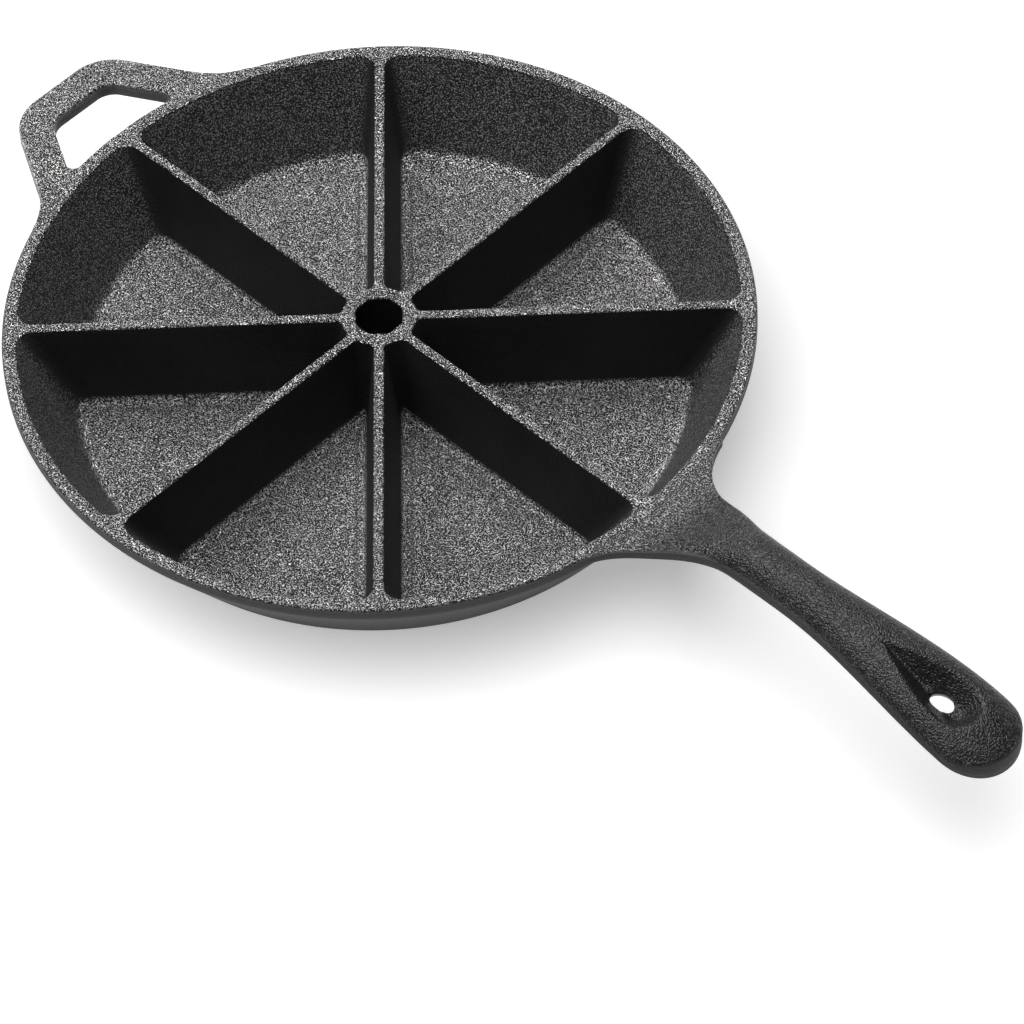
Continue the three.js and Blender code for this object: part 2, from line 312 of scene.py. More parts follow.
def tidyMesh(mesh):
    work = bmesh.new()
    work.from_mesh(mesh)
    bmesh.ops.remove_doubles(work, verts=work.verts, dist=castSkin["double"] * mm)
    bmesh.ops.dissolve_degenerate(work, edges=work.edges, dist=castSkin["sliver"] * mm)
    bmesh.ops.recalc_face_normals(work, faces=work.faces)
    loose = sum(not edge.is_manifold for edge in work.edges)
    work.to_mesh(mesh)
    work.free()
    return loose


# runs the tree on a piece and leaves a plain closed mesh
def cast(piece, copies, *nodes):
    tidyMesh(piece.data)
    step = piece.modifiers.new("castSkin", "NODES")
    step.node_group = castGroup
    sockets = castGroup.interface.items_tree
    inputs = {item.name: item.identifier for item in sockets if item.in_out == "INPUT"}
    step[inputs["Copies"]] = copies
    step[inputs["Uneven"]] = castSkin["uneven"] * mm
    step[inputs["Wave"]] = castSkin["waveSize"] * mm
    step[inputs["Weld"]] = castSkin["weld"] * mm
    graph = bpy.context.evaluated_depsgraph_get()
    mesh = bpy.data.meshes.new_from_object(piece.evaluated_get(graph))
    piece.modifiers.clear()
    piece.data = mesh
    loose = tidyMesh(mesh)
    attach(piece, "root")
    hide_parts(*nodes)
    print(piece.name, len(mesh.polygons), "faces,", loose, "open edges")


# grain: 0 smooth to 1 coarse, which also sets how many pale specks (partly painted glints) a surface gets and
# is lowered beside and on the dividers for painted shade; wear: above 0 rubbed, and along the fillets a
# painted highlight strip, below 0 matt
pan = {
    "pockets": 8,
    "rimFlat": 4.6,
    "rimBand": 4.0,
    "rimEdge": 1.1,
    "bandStep": 0.3,        # the step under the upright band, and half its height
    "bandFade": 0.5,
    "baseRadius": 105.0,
    "baseEdge": 2.0,
    "baseMiddle": 6.0,      # radius of the fan of faces on the axis
    "baseLevel": 0.01,      # points below this height are on the base
    "wall": 4.7,
    "wallFillet": 6.0,
    "wallLip": 1.3,
    "ribWidth": 3.4,
    "ribDraft": 7.4,        # degrees
    "ribFillet": 3.6,
    "ribLip": 0.9,
    "hubRadius": 12.8,
    "hubCorner": 2.6,
    "hubShare": 0.98,       # of a pocket's half angle, the most that its corner takes up
    "leastCorner": 0.6,
    "wellRadius": 7.7,
    "wellFlats": 0.05,      # how far its eight corners stand out, as a share
    "wellLip": 0.9,
    "wellFillet": 2.0,
    "wellMiddle": 2.0,
    "rimCorner": 5.5,
    "floorRows": (0.08, 0.92, 8),       # first, last and number, as shares of the way out
    "floorShadeFoot": 0.75,      # where the floor turns into the darker strip beside a divider, which is painted shade
    "topRows": (0.33, 0.67, 1.0),
    "topGrain": 0.9,
    "topWear": 0.75,
    "edgeWear": 0.5,
    "wearFade": 0.2,        # from row to row down into the well
    "baseGrain": 0.6,
    "outerGrain": 0.22,
    # lower grain on the upright faces of dividers and walls gives fewer pale specks, so they come out darker:
    # partly painted shade
    "ribGrainAndShade": 0.45,
    "wallGrainAndShade": 0.57,
    "wellGrain": 0.42,
    "footShadeGrain": 0.6,       # on the floor beside a divider, lower so that strip is darker: painted shade of the dark divider face reflected in the floor
    "footShadeOver": (0, 3),     # rows up the fillet
    "stripHighlight": 2.3,       # a painted highlight strip along the fillet, which comes and goes over these rows
    "highlightFrom": (1, 3),
    "highlightTo": (4, 7),
}
pitch = 2 * math.pi / pan["pockets"]
hubSteps, hubCornerSteps, ribSteps, rimCornerSteps, rimSteps = 4, 6, 46, 10, 18
toRib = hubSteps + hubCornerSteps
toRim = toRib + ribSteps
filletSteps, sideSteps, lipSteps, edgeSteps = 8, 12, 6, 5


# a pocket's side from the floor to the flat on top: fillet, leaning wall, rounded lip
def sideProfile(foot, slope, fillet, lip):
    lean = math.atan(slope)
    centre = foot + slope * fillet - fillet * math.hypot(1, slope)
    turn = np.linspace(0, math.pi / 2 - lean, filletSteps + 1)
    hollow = np.column_stack((centre + fillet * np.sin(turn), floorHeight + fillet * (1 - np.cos(turn))))
    edge = np.array((foot + slope * (panHeight - floorHeight), panHeight))
    run = lip * math.tan((math.pi / 2 - lean) / 2)
    lipStart = edge - run * np.array((math.sin(lean), math.cos(lean)))
    turn = np.linspace(lean, math.pi / 2, lipSteps + 1)
    bulge = edge + np.column_stack((run - lip * np.cos(turn), lip * (np.sin(turn) - 1)))
    return chain([hollow, line(hollow[-1], lipStart, sideSteps), bulge])


# half of a pocket's outline, from the hub to the rim along the divider on +X, and how much of it is wall
def pocketHalf(outer, half, hub, grow):
    sine = math.sin(pan["hubShare"] * pitch / 2)
    inner = max(hub, (half + pan["leastCorner"]) / sine)
    hubCorner = min(pan["hubCorner"] + grow, (inner * sine - half) / (1 - sine))
    hubTurn = math.asin((half + hubCorner) / (inner + hubCorner))
    hubCentre = ((half + hubCorner) / math.tan(hubTurn), half + hubCorner)
    rimCorner = pan["rimCorner"] + grow
    rimTurn = math.asin((half + rimCorner) / (outer - rimCorner))
    rimCentre = ((half + rimCorner) / math.tan(rimTurn), half + rimCorner)
    outline = chain([
        arc((0, 0), inner, pitch / 2, hubTurn, hubSteps),
        arc(hubCentre, hubCorner, hubTurn + math.pi, 1.5 * math.pi, hubCornerSteps),
        line((hubCentre[0], half), (rimCentre[0], half), ribSteps),
        arc(rimCentre, rimCorner, -math.pi / 2, rimTurn, rimCornerSteps),
        arc((0, 0), outer, rimTurn, pitch / 2, rimSteps),
    ])
    wallShare = np.concatenate((np.zeros(toRim), smooth(0, 1, np.linspace(0, 1, rimCornerSteps + 1)),
                                np.ones(rimSteps)))
    return outline, wallShare, rimTurn


# the other half, across the pocket's middle line
def wholePocket(half):
    across = np.array(((math.cos(pitch), math.sin(pitch)), (math.sin(pitch), -math.cos(pitch))))
    other = half.copy()
    other[:, :2] = half[:, :2] @ across.T
    return np.vstack((half, other[-2:0:-1]))


# the well is slightly eight-sided
def wellStretch(turn):
    return 1 + pan["wellFlats"] * np.sin(turn * math.pi / pitch) ** 2


def panSector():
    skin = Skin()
    flare = (rimRadius - pan["baseRadius"]) / (panHeight - pan["rimBand"])
    depth = panHeight - floorHeight
    floorRadius = pan["baseRadius"] + flare * floorHeight - pan["wall"]
    wallSlope = (rimRadius - pan["rimFlat"] - floorRadius) / depth
    ribSlope = math.tan(math.radians(pan["ribDraft"]))
    wallSide = sideProfile(floorRadius, wallSlope, pan["wallFillet"], pan["wallLip"])
    ribSide = sideProfile(-pan["ribWidth"] / 2 - ribSlope * depth, ribSlope, pan["ribFillet"], pan["ribLip"])
    hubSide = sideProfile(-pan["hubRadius"] - ribSlope * depth, ribSlope, pan["ribFillet"], pan["ribLip"])
    lipFrom = len(ribSide) - lipSteps - 1

    # pocket: floor, fillets, walls and lips
    rows = []
    for step in range(len(ribSide)):
        grow = max(0.0, ribSide[step, 0] + pan["ribWidth"] / 2)
        outline, wallShare, rimTurn = pocketHalf(
            wallSide[step, 0], -ribSide[step, 0], -hubSide[step, 0], grow)
        height = mix(ribSide[step, 1], wallSide[step, 1], wallShare)
        steep = smooth(0, pan["ribFillet"], ribSide[step, 1] - floorHeight) * (step <= lipFrom)
        # painted shade: the floor beside a divider and the foot of its fillet get lower grain, so fewer pale
        # specks
        footShadeGrain = mix(pan["footShadeGrain"], 1.0, wallShare)
        grain = mix(footShadeGrain, 1.0, float(smooth(*pan["footShadeOver"], step)))
        # partly painted shade: the upright faces take the lower grain of dividers and walls
        grain = mix(grain, mix(pan["ribGrainAndShade"], pan["wallGrainAndShade"], wallShare), steep)
        # painted highlight: a strip up the fillet gets extra wear on top of the rubbed lip, so more pale
        # specks
        highlightStrip = float(smooth(*pan["highlightFrom"], step) * (1 - smooth(*pan["highlightTo"], step)))
        rubbedAndHighlight = max(0, step - lipFrom) / lipSteps + pan["stripHighlight"] * highlightStrip
        points = wholePocket(raise3(outline, height))
        rows.append((points, np.concatenate((grain, grain[-2:0:-1])), rubbedAndHighlight - steep))
    floorRow, floorEdgeGrainAndShade = rows[0][:2]
    middle = floorRow.mean(axis=0)
    rings = []
    for share in np.linspace(*pan["floorRows"]):
        # the outer floor rings fade into the painted shade beside the dividers
        grain = mix(1.0, floorEdgeGrainAndShade, float(smooth(pan["floorShadeFoot"], 1.0, share)))
        rings.append(skin.row(mix(middle, floorRow, share), grain))
    centre = skin.row([middle])[0]
    skin.fan(rings[0], centre, closed=True)
    rings += [skin.row(*row) for row in rows]

    # flat top between the pocket's lip, which is the last outline, and the sector's edges
    outRadius = rimRadius - pan["rimEdge"]
    wellOut = pan["wellRadius"] + pan["wellLip"]
    ribEnd = outline[toRim, 0]
    halfCorner = rimCornerSteps // 2
    wellTurn = np.linspace(pitch / 2, 0, toRib + 1)
    wellEdge = wellOut * wellStretch(wellTurn)
    border = chain([
        np.column_stack((wellEdge * np.cos(wellTurn), wellEdge * np.sin(wellTurn))),
        line((wellOut, 0), (ribEnd, 0), ribSteps),
        line((ribEnd, 0), (outRadius, 0), halfCorner),
        arc((0, 0), outRadius, 0, rimTurn, rimCornerSteps - halfCorner),
        arc((0, 0), outRadius, rimTurn, pitch / 2, rimSteps),
    ])
    lipRow = rows[-1][0]
    borderRow = wholePocket(raise3(border, panHeight))
    for share in pan["topRows"]:
        rings.append(skin.row(mix(lipRow, borderRow, share), pan["topGrain"], pan["topWear"]))
    for first, second in zip(rings, rings[1:]):
        skin.bridge(first, second, closed=True)
    turns = np.arctan2(border[:, 1], border[:, 0])

    # outside: rounded rim, upright band, flared wall, base
    rimTurns = turns[toRim + halfCorner:]
    rimTurns = np.concatenate((rimTurns, pitch - rimTurns[-2::-1]))
    edgeFoot = panHeight - pan["rimEdge"]
    bandFoot = panHeight - pan["rimBand"]
    bandEnd = (rimRadius, bandFoot + pan["bandFade"])
    wallTop = (rimRadius - pan["bandStep"], bandFoot - pan["bandFade"])
    wallFoot = (pan["baseRadius"] + flare * pan["baseEdge"], pan["baseEdge"])
    baseFlat = pan["baseRadius"] - pan["baseEdge"]
    profile = chain([
        arc((outRadius, edgeFoot), pan["rimEdge"], math.pi / 2, 0, edgeSteps),
        line((rimRadius, edgeFoot), bandEnd, 2),
        line(bandEnd, wallTop, 2),
        line(wallTop, wallFoot, 12),
        arc((baseFlat, pan["baseEdge"]), pan["baseEdge"], -math.atan(flare), -math.pi / 2, 6),
        line((baseFlat, 0), (pan["baseMiddle"], 0), 8),
    ])
    steps = np.arange(len(profile))
    grain = mix(pan["topGrain"], pan["outerGrain"], np.minimum(1, steps / edgeSteps))
    grain = np.where(profile[:, 1] > pan["baseLevel"], grain, pan["baseGrain"])
    skin.spin(profile, rimTurns, grain, np.where(steps < edgeSteps - 1, pan["edgeWear"], 0.0))

    # well in the hub
    wellTurns = turns[:toRib + 1]
    wellTurns = np.concatenate((wellTurns[::-1], pitch - wellTurns[1:]))
    lip, radius, fillet = pan["wellLip"], pan["wellRadius"], pan["wellFillet"]
    profile = chain([
        arc((wellOut, panHeight - lip), lip, math.pi / 2, math.pi, edgeSteps),
        line((radius, panHeight - lip), (radius, floorHeight + fillet), 10),
        arc((radius - fillet, floorHeight + fillet), fillet, 0, -math.pi / 2, 4),
        line((radius - fillet, floorHeight), (pan["wellMiddle"], floorHeight), 2),
    ])
    steps = np.arange(len(profile))
    grain = mix(pan["topGrain"], pan["wellGrain"], np.minimum(1, steps / edgeSteps))
    wear = np.clip(pan["topWear"] - pan["wearFade"] * steps, 0, None)
    skin.spin(profile, wellTurns, grain, wear, wellStretch(wellTurns))
    return skin.build("pan_body")


panBody = panSector()
cast(panBody, pan["pockets"], "base_plate", "side_wall", "hub",
     *(f"divider_{number}" for number in range(1, pan["pockets"] + 1)))


# a flat loop flush with the rim
helper = {
    "reach": -helperLow.x - rimRadius,
    "thickness": panHeight - helperLow.z,
    "tipHalf": 20.0,
    "footHalf": 38.5,
    "corner": 17.0,
    "hollow": 32.0,
    "tipBar": 12.0,
    "sideBar": 12.0,
    "holeCorner": 8.0,
    "nearCorner": 3.0,
    "edge": 1.1,
    "mostEdge": 0.45,       # as a share of the bar's width
    "lap": 1.7,             # how far it lies over the rim
    "lapEdge": 0.08,
    "lapRun": 0.1,
    "proud": 0.006,
    "sink": 4.0,            # times that height
    "sideGrain": 0.3,
    "grainFrom": 1.65,      # depths under the top between which its grain fades
    "grainTo": 0.3,
}
tipSteps, cornerSteps, barSteps, hollowSteps, lapSteps, loopSteps = 8, 14, 10, 16, 2, 22


# a round corner between two straight stretches, given as the corner and a point on each
def cornerArc(before, corner, after, radius, count):
    back = (Vector(before) - Vector(corner)).normalized()
    on = (Vector(after) - Vector(corner)).normalized()
    half = back.angle(on) / 2
    centre = Vector(corner) + (back + on).normalized() * (radius / math.sin(half))
    start = Vector(corner) + back * (radius / math.tan(half)) - centre
    end = Vector(corner) + on * (radius / math.tan(half)) - centre
    first = math.atan2(start.y, start.x)
    sweep = (math.atan2(end.y, end.x) - first + math.pi) % (2 * math.pi) - math.pi
    return arc(centre, radius, first, first + sweep, count)


# outer edge and hole edge of the half on +Y, with as many points each, from the tip to the middle of the rim
def helperHalves():
    tip = rimRadius + helper["reach"]
    foot = (rimRadius, helper["footHalf"])
    tipCorner = (tip, helper["tipHalf"])
    normal = Vector((helper["footHalf"] - helper["tipHalf"], helper["reach"])).normalized()
    offset = normal.dot(Vector(foot))
    lean = math.atan2(normal.y, normal.x)
    reach = rimRadius + helper["hollow"]
    turn = lean - math.acos((offset + helper["hollow"]) / reach)
    hollow = arc((reach * math.cos(turn), reach * math.sin(turn)), helper["hollow"],
                 lean + math.pi, turn + math.pi, hollowSteps)
    corner = cornerArc((tip, 0), tipCorner, foot, helper["corner"], cornerSteps)
    inside = rimRadius - helper["lap"]
    outer = chain([
        line((tip, 0), corner[0], tipSteps),
        corner,
        line(corner[-1], hollow[0], barSteps),
        hollow,
        line(hollow[-1], (inside * math.cos(turn), inside * math.sin(turn)), lapSteps),
        arc((0, 0), inside, turn, 0, loopSteps),
    ])

    far = tip - helper["tipBar"]
    wallOffset = offset - helper["sideBar"]

    def holeSide(x):
        return x, (wallOffset - normal.x * x) / normal.y

    holeCorner = cornerArc((far, 0), holeSide(far), holeSide(rimRadius), helper["holeCorner"], cornerSteps)
    near = rimRadius + helper["proud"]
    small = helper["nearCorner"]
    along = math.sqrt((near + small) ** 2 - (wallOffset - small) ** 2)
    centre = normal * (wallOffset - small) + Vector((normal.y, -normal.x)) * along
    nearTurn = math.atan2(centre.y, centre.x)
    nearCorner = arc(centre, small, lean, nearTurn + math.pi, hollowSteps)
    hole = chain([
        line((far, 0), holeCorner[0], tipSteps),
        holeCorner,
        line(holeCorner[-1], nearCorner[0], barSteps),
        nearCorner,
        arc((0, 0), near, nearTurn, 0, lapSteps + loopSteps),
    ])
    return outer, hole


# a section from the outer edge to the hole: a slab with rounded edges; where it lies over the rim its top
# sinks into the rim at a very flat angle
def slabSection(outer, inner, lapShare):
    width = np.linalg.norm(inner - outer)
    ahead = (inner - outer) / width
    edge = min(helper["edge"], helper["mostEdge"] * width)
    rim = mix(edge, helper["lapEdge"], lapShare)
    low = panHeight - helper["thickness"]
    high = panHeight + helper["proud"]
    sunk = high - helper["sink"] * helper["proud"] * lapShare
    flatFrom = (edge + helper["lapRun"], high)
    shape = chain([
        line((0, low + edge), (0, sunk - rim), 3),
        arc((rim, sunk - rim), rim, math.pi, math.pi / 2, edgeSteps),
        line((rim, sunk), flatFrom, 1),
        line(flatFrom, (width - edge, high), 4),
        arc((width - edge, high - edge), edge, math.pi / 2, 0, edgeSteps),
        line((width, high - edge), (width, low + edge), 3),
        arc((width - edge, low + edge), edge, 0, -math.pi / 2, edgeSteps),
        line((width - edge, low), (edge, low), 4),
        arc((edge, low + edge), edge, -math.pi / 2, -math.pi, edgeSteps),
    ])[:-1]
    return np.column_stack((outer + shape[:, :1] * ahead, shape[:, 1])), shape[:, 1]


def helperLoop():
    skin = Skin()
    outer, hole = helperHalves()
    mirror = np.array((1, -1))
    outer = np.vstack((outer, (outer * mirror)[-2:0:-1]))
    hole = np.vstack((hole, (hole * mirror)[-2:0:-1]))
    rows = []
    for first, second in zip(outer, hole):
        lapShare = smooth(rimRadius, rimRadius - helper["lap"], np.linalg.norm(first))
        points, heights = slabSection(first, second, float(lapShare))
        points[:, :2] *= -1     # turned half round, away from the long handle
        onTop = smooth(panHeight - helper["grainFrom"], panHeight - helper["grainTo"], heights)
        grain = mix(helper["sideGrain"], pan["topGrain"], onTop)
        rows.append(skin.row(points, grain, pan["topWear"] * onTop))
    for first, second in zip(rows, rows[1:] + rows[:1]):
        skin.bridge(first, second, closed=True)
    return skin.build("helper_handle_loop")


helperPiece = helperLoop()
cast(helperPiece, 1, "helper_handle")


# places along the long handle are counted from the rim; a change over a stretch is a pair
handle = {
    "reach": gripHigh.x - rimRadius,
    "gussetHalf": 35.5,
    "gussetThickness": 3.8,
    "gussetCurve": 19.0,
    "gussetBelly": 0.3,
    "aside": 2.4,           # the flare's middle lies beside the divider's line
    "asideOver": (14, 40),
    "neckAt": 51.0,
    "neckWidth": 19.1,
    "neckCurve": 34.0,
    "neckBand": 2.4,
    "neckBelly": 4.5,
    "gripFrom": 60.0,
    "gripWidth": 32.2,
    "gripBelly": 1.5,
    "crown": 6.0,
    "riseTo": 44.0,
    "rise": 14.0,
    "droopFrom": 68.0,
    "droop": 11.2,
    "squarePower": 14.0,    # of a section at the flat flare, and at the grip
    "roundPower": 2.0,
    "roundOver": (2, 40),
    "edge": 1.1,
    "mostEdge": 0.42,       # as a share of the band's height
    "endRound": 0.7,
    "endDome": 1.5,         # the crown's length past the last straight section, as a share of its half width
    "lastTurn": 1.53,       # the round end stops just short of a quarter turn, and a cap closes it
    "evenOver": (0.3, 0.9),             # turns over which the points across become evenly spaced
    "recessTip": 97.0,
    "recessWidest": 128.5,
    "recessEnd": 138.2,
    "recessHalf": 8.7,
    "recessBow": 1.08,      # power of the curve of its sides
    "recessDepth": 9.6,
    "recessFall": 1.25,     # how soon it is at its deepest
    "recessFloor": 6.9,
    "recessLeast": 0.001,
    "tipOver": (-0.02, 0.12),
    "valleySoft": 0.002,    # roundings of its valley, lips and floor
    "lipSoft": 0.004,
    "floorSoft": 0.6,
    "holeAt": 123.5,
    "holeLength": 8.5,
    "holeWidth": 6.3,
    "holeEdge": 0.4,
    "holeDraft": 1.2,
    "holeSkin": 0.6,        # reach of its own grain, as a share of its length
    "cutBelow": 2.0,        # how far the cutter stands out
    "cutAbove": 6.0,
    "lap": 1.7,
    "proud": 0.006,
    "proudOver": (0, 8),
    "sideGrain": 0.2,
    "topGrain": 0.505,
    "topOver": (0.12, 0.5),             # from the side to the top, as shares of the dome
    "endTopOver": (0.12, 0.3),
    "insetOver": (0.3, 1),
    "flareGrain": 0.605,
    "flareGrainOver": (4, 52),
    "flareWear": 0.1,
    "flareWearOver": (2, 30),
    "dipGrain": 0.58,       # where the flare starts to rise
    "dipFrom": (6, 20),
    "dipTo": (20, 38),
}
gripTo = handle["reach"] - handle["gripWidth"] / 2
topSteps, bottomSteps, flareSteps, gripSteps, endSteps, holeSteps = 72, 36, 48, 140, 24, 48


# middle of the band, which rises without a kink at either end and droops towards the tip
def midHeight(place):
    droop = np.clip((place - handle["droopFrom"]) / (handle["reach"] - handle["droopFrom"]), 0, None) ** 2
    share = np.clip(place / handle["riseTo"], 0, 1)
    rise = handle["rise"] * share ** 3 * (10 - 15 * share + 6 * share ** 2)
    return panHeight - handle["gussetThickness"] / 2 + rise - handle["droop"] * droop


def bandHeight(place):
    return mix(handle["gussetThickness"], handle["neckBand"], smooth(0, handle["neckAt"], place))


def crownHeight(place):
    return handle["crown"] * smooth(0, handle["neckAt"], place)


def bellyHeight(place):
    toNeck = mix(handle["gussetBelly"], handle["neckBelly"], smooth(0, handle["neckAt"], place))
    return mix(toNeck, handle["gripBelly"], smooth(handle["gripFrom"], gripTo, place))


def crest(place):
    return midHeight(place) + bandHeight(place) / 2 + crownHeight(place)


# a teardrop funnel: a valley that widens and deepens from its tip to the hang hole, with soft lips
def recess(place, y):
    least = handle["recessLeast"]
    length = handle["recessWidest"] - handle["recessTip"]
    share = np.clip((place - handle["recessTip"]) / length, least, 1)
    half = handle["recessHalf"] * np.sin(math.pi / 2 * share ** handle["recessBow"])
    past = np.clip((place - handle["recessWidest"]) / (handle["recessEnd"] - handle["recessWidest"]), 0, None)
    away = np.sqrt((y / half) ** 2 + past ** 2 + handle["valleySoft"])
    inside = (1 - away + np.sqrt((1 - away) ** 2 + handle["lipSoft"])) / 2
    fall = np.clip(share * handle["recessFall"], 0, 1)
    depth = handle["recessDepth"] * fall * inside * smooth(*handle["tipOver"], share - least)
    flat, soft = handle["recessFloor"], handle["floorSoft"]
    return (depth + flat - np.sqrt((depth - flat) ** 2 + soft)) / 2 - (flat - math.sqrt(flat ** 2 + soft)) / 2


# how square a section is: high at the flat flare, 2 at the crowned grip
def squareness(place):
    return mix(handle["squarePower"], handle["roundPower"], smooth(*handle["roundOver"], place))


# half a section's rounding, 1 in the middle and 0 at the edge; past the last straight section it is a dome
def roundness(x, y, half, endTurn):
    if endTurn == 0:
        power = squareness(np.hypot(x, y) - rimRadius)
        return np.clip(1 - np.abs(y / half) ** power, 0, 1) ** (1 / power)
    past = (x - rimRadius - gripTo) / handle["endDome"]
    return np.sqrt(np.clip(1 - (past ** 2 + y ** 2) / half ** 2, 0, 1))


# places from one edge to the other, closer together at the edges, even at the tip
def across(steps, endTurn):
    return mix(np.cos(np.linspace(0, math.pi, steps + 1)), np.linspace(1, -1, steps + 1),
               smooth(*handle["evenOver"], endTurn))


def edgeRadius(band):
    return np.minimum(handle["edge"], handle["mostEdge"] * band)


def handleRing(plan, half, endTurn):
    x, y = plan(across(topSteps, endTurn))
    place = np.hypot(x, y) - rimRadius
    band = bandHeight(place)
    edge = edgeRadius(band)
    dome = roundness(x, y, half, endTurn)
    high = midHeight(place) + band / 2 - edge + (crownHeight(place) + edge) * dome
    onTop = smooth(*handle["topOver"], dome)
    if endTurn > 0:
        width = handle["endRound"] * math.sin(endTurn)
        inset = np.clip((half - np.hypot(x - rimRadius - gripTo, y)) / width, 0, 1)
        high = high - width * (1 - np.sqrt(1 - (1 - inset) ** 2))
        onTop = np.minimum(smooth(*handle["endTopOver"], dome), smooth(*handle["insetOver"], inset))
    high = high + handle["proud"] * (1 - smooth(*handle["proudOver"], place)) - recess(x - rimRadius, y)
    dip = smooth(*handle["dipFrom"], place) * (1 - smooth(*handle["dipTo"], place))
    skinGrain = mix(handle["flareGrain"], handle["topGrain"], smooth(*handle["flareGrainOver"], place))
    topGrain = mix(handle["sideGrain"], mix(skinGrain, handle["dipGrain"], dip), onTop)
    topWear = handle["flareWear"] * (1 - smooth(*handle["flareWearOver"], place)) * onTop
    topPoints = np.column_stack((x, y, high))

    x, y = plan(-across(bottomSteps, endTurn))
    place = np.hypot(x, y) - rimRadius
    band = bandHeight(place)
    edge = edgeRadius(band)
    low = midHeight(place) - band / 2 + edge - (bellyHeight(place) + edge) * roundness(x, y, half, endTurn)
    lowPoints = np.column_stack((x, y, low))

    points = np.vstack((topPoints, mix(topPoints[-1], lowPoints[0], 0.5),
                        lowPoints, mix(lowPoints[-1], topPoints[0], 0.5)))
    points[:, 1] += handle["aside"] * (1 - smooth(*handle["asideOver"], points[:, 0] - rimRadius))
    sides = len(lowPoints) + 2
    grain = np.concatenate((topGrain, [handle["sideGrain"]] * sides))
    wear = np.concatenate((topWear, [0.0] * sides))
    return points, grain, wear


# plan of a straight section: from shares of its half width to points
def straight(x, half):
    return lambda s: (np.full(len(s), x), half * s)


def handleBar():
    skin = Skin()
    inside = rimRadius - handle["lap"]
    spread = math.asin(handle["gussetHalf"] / rimRadius)
    start = np.array((rimRadius * math.cos(spread), handle["gussetHalf"]))
    leave = start + handle["gussetCurve"] * np.array((math.sin(spread), -math.cos(spread)))
    neck = np.array((rimRadius + handle["neckAt"], handle["neckWidth"] / 2))
    reach = neck - np.array((handle["neckCurve"], 0))
    plans = []
    arcEdge = inside * math.sin(spread)
    plans.append((lambda s: (np.sqrt(inside ** 2 - (arcEdge * s) ** 2), arcEdge * s), arcEdge, 0))
    bulge = inside - start[0]
    for t in np.linspace(0, 1, flareSteps + 1):
        edge = ((1 - t) ** 3 * start + 3 * (1 - t) ** 2 * t * leave
                + 3 * (1 - t) * t * t * reach + t ** 3 * neck)
        bow = bulge * (1 - t) ** 2
        plans.append((lambda s, edge=edge, bow=bow: (edge[0] + bow * (1 - s * s), edge[1] * s), edge[1], 0))
    for place in np.linspace(handle["neckAt"], gripTo, gripSteps + 1)[1:]:
        half = mix(handle["neckWidth"], handle["gripWidth"], smooth(handle["gripFrom"], gripTo, place)) / 2
        plans.append((straight(rimRadius + place, half), half, 0))
    radius = handle["gripWidth"] / 2
    for turn in np.linspace(0, handle["lastTurn"], endSteps + 1)[1:]:
        x = rimRadius + gripTo + radius * math.sin(turn)
        plans.append((straight(x, radius * math.cos(turn)), radius, turn))
    rows = []
    for plan, half, turn in plans:
        points, grain, wear = handleRing(plan, half, turn)
        rows.append(skin.row(points, grain, wear))
    for first, second in zip(rows, rows[1:]):
        skin.bridge(first, second, closed=True)
    for row, grain in ((rows[0], 1.0), (rows[-1], handle["sideGrain"])):
        middle = np.array([skin.points[i] for i in row]).mean(axis=0)
        skin.fan(row, skin.row([middle], grain)[0], closed=True)
    return skin.build("long_handle")


# an oval cutter that widens downwards and has a rounded upper edge
def cutHangHole(piece):
    skin = Skin()
    place = handle["holeAt"]
    low = float(midHeight(place) - bandHeight(place) / 2 - bellyHeight(place))
    high = float(crest(place) - recess(place, 0.0))
    edge, draft = handle["holeEdge"], handle["holeDraft"]
    turn = np.linspace(0, math.pi / 2, edgeSteps)
    above = np.column_stack((edge * (1 - np.cos(turn)), high - edge + edge * np.sin(turn)))
    below = [(draft, low - handle["cutBelow"]), (draft, low)]
    profile = np.vstack((below, above, [(edge, high + handle["cutAbove"])]))
    angles = np.linspace(0, 2 * math.pi, holeSteps + 1)[:-1]
    rows = []
    for grow, height in profile:
        x = rimRadius + place + (handle["holeLength"] / 2 + grow) * np.cos(angles)
        y = (handle["holeWidth"] / 2 + grow) * np.sin(angles)
        rows.append(skin.row(np.column_stack((x, y, np.full(len(x), height)))))
    for first, second in zip(rows, rows[1:]):
        skin.bridge(first, second, closed=True)
    for row in (rows[0], rows[-1]):
        skin.faces.append(tuple(row))
    cutter = skin.build("hangHoleCutter")
    tidyMesh(cutter.data)
    tidyMesh(piece.data)
    step = piece.modifiers.new("hangHole", "BOOLEAN")
    step.object = cutter
    step.operation = "DIFFERENCE"
    step.solver = "EXACT"
    mesh = bpy.data.meshes.new_from_object(piece.evaluated_get(bpy.context.evaluated_depsgraph_get()))
    piece.modifiers.clear()
    piece.data = mesh
    bpy.data.objects.remove(cutter)
    for vertex, layer in zip(mesh.vertices, mesh.attributes["grain"].data):
        x, y = vertex.co.xy / mm
        if math.hypot(x - rimRadius - place, y) < handle["holeSkin"] * handle["holeLength"]:
            layer.value = handle["topGrain"]


handlePiece = handleBar()
cutHangHole(handlePiece)
cast(handlePiece, 1, "handle_gusset", "handle_grip")


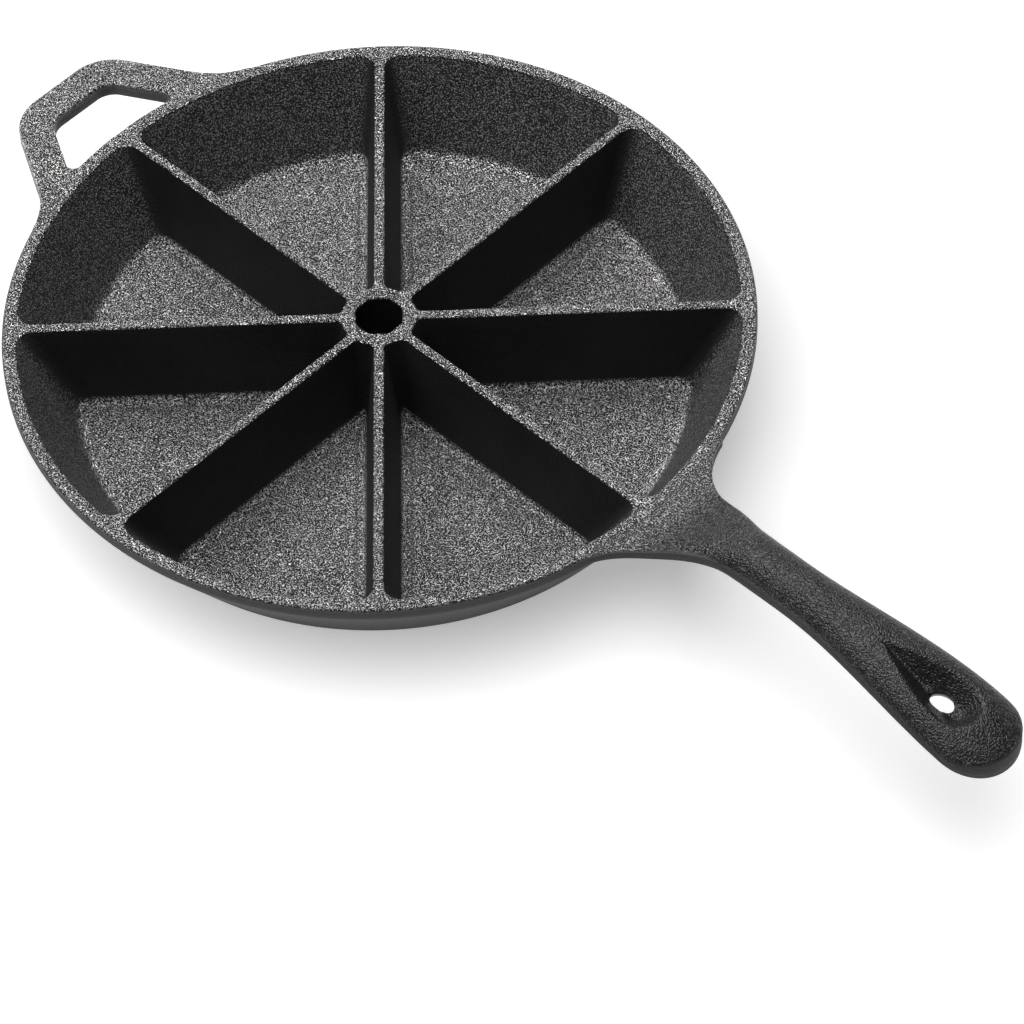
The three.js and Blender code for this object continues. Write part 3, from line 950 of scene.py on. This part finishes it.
stage = {
    "floorSize": 8.0,
    "floorDrop": 0.0002,
    "floorColor": (0.9, 0.9, 0.9, 1),
    "lift": 0.4,            # white added to the floor where it is seen, also in a shine
    "softboxSize": 1.3,     # seen in the iron's shine only
    "softboxHeight": 1.316,
    "softboxBack": 0.479,
    "softboxLeft": 0.15,
    "softboxPower": 26.0,
    "keySize": 3.0,         # lights floor and iron, leaves no shine
    "keyHeight": 1.8,
    "keyLeft": 0.5,
    "keyPower": 62.0,
    "sky": 0.05,
}
view = {
    "turn": -43.206,        # degrees round the pan from the long handle
    "climb": 50.366,
    "roll": -3.353,
    "distance": 1.80351,
    "slide": (0.04466, -0.06598),
    "lens": 188.89,
    "sensor": 36.0,
    "clipEnd": 50.0,
}


# 1 for the rays that show the background, 0 for those that only light
def seenRays(graph):
    camera, glossy, through = (graph.add("ShaderNodeLightPath", out=f"Is {name} Ray")
                               for name in ("Camera", "Glossy", "Transmission"))
    return camera + glossy + through


def addFloor():
    half = stage["floorSize"] / 2
    mesh = bpy.data.meshes.new("floor")
    corners = ((-half, -half), (half, -half), (half, half), (-half, half))
    mesh.from_pydata([(*corner, -stage["floorDrop"]) for corner in corners], [], [(0, 1, 2, 3)])
    floor = bpy.data.objects.new("floor", mesh)
    bpy.context.scene.collection.objects.link(floor)
    material = bpy.data.materials.new("paleFloor")
    material.use_nodes = True
    material.node_tree.nodes.clear()
    graph = Graph(material.node_tree)
    plain = graph.add("ShaderNodeBsdfDiffuse", None, {"Color": stage["floorColor"]})
    white = graph.add("ShaderNodeEmission", None, {"Color": (1, 1, 1, 1), "Strength": stage["lift"]})
    lifted = graph.add("ShaderNodeAddShader", None, {0: plain, 1: white})
    both = graph.add("ShaderNodeMixShader", None, {0: seenRays(graph), 1: plain, 2: lifted})
    leave = material.node_tree.nodes.new("ShaderNodeOutputMaterial")
    material.node_tree.links.new(both.socket, leave.inputs["Surface"])
    mesh.materials.append(material)


def addLight(ahead):
    world = bpy.data.worlds.new("studio")
    bpy.context.scene.world = world
    world.use_nodes = True
    graph = Graph(world.node_tree)
    grey = [stage["sky"]] * 3 + [1]
    seen = graph.add("ShaderNodeLightPath", out="Is Camera Ray")
    shade = graph.blend(seen, grey, (1, 1, 1, 1))
    world.node_tree.links.new(shade.socket, world.node_tree.nodes["Background"].inputs["Color"])
    left = Vector((-ahead.y, ahead.x, 0))
    softboxAt = (ahead * stage["softboxBack"] + left * stage["softboxLeft"]
                 + Vector((0, 0, stage["softboxHeight"])))
    keyAt = left * stage["keyLeft"] + Vector((0, 0, stage["keyHeight"]))
    for name, place in (("softbox", softboxAt), ("key", keyAt)):
        lamp = bpy.data.lights.new(name, "AREA")
        lamp.size = stage[f"{name}Size"]
        lamp.energy = stage[f"{name}Power"]
        light = bpy.data.objects.new(name, lamp)
        light.location = place
        light.rotation_euler = (-place).to_track_quat("-Z", "Y").to_euler()
        light.visible_diffuse = name == "key"
        light.visible_glossy = name == "softbox"
        bpy.context.scene.collection.objects.link(light)


def addCamera():
    turn, climb, roll = (math.radians(view[key]) for key in ("turn", "climb", "roll"))
    away = Vector((math.cos(turn) * math.cos(climb), math.sin(turn) * math.cos(climb), math.sin(climb)))
    level = Vector((-math.sin(turn), math.cos(turn), 0))
    rising = away.cross(level)
    right = level * math.cos(roll) + rising * math.sin(roll)
    upward = rising * math.cos(roll) - level * math.sin(roll)
    lens = bpy.data.cameras.new("camera")
    lens.lens = view["lens"]
    lens.sensor_width = view["sensor"]
    lens.clip_end = view["clipEnd"]
    camera = bpy.data.objects.new("camera", lens)
    hub = Vector((0, 0, panHeight * mm))
    place = hub + away * view["distance"] + right * view["slide"][0] + upward * view["slide"][1]
    camera.matrix_world = Matrix.Translation(place) @ Matrix((right, upward, away)).transposed().to_4x4()
    bpy.context.scene.collection.objects.link(camera)
    bpy.context.scene.camera = camera
    return Vector((-away.x, -away.y, 0)).normalized()


addFloor()
ahead = addCamera()
addLight(ahead)
bpy.context.scene.view_settings.view_transform = "Standard"
print("stage done")
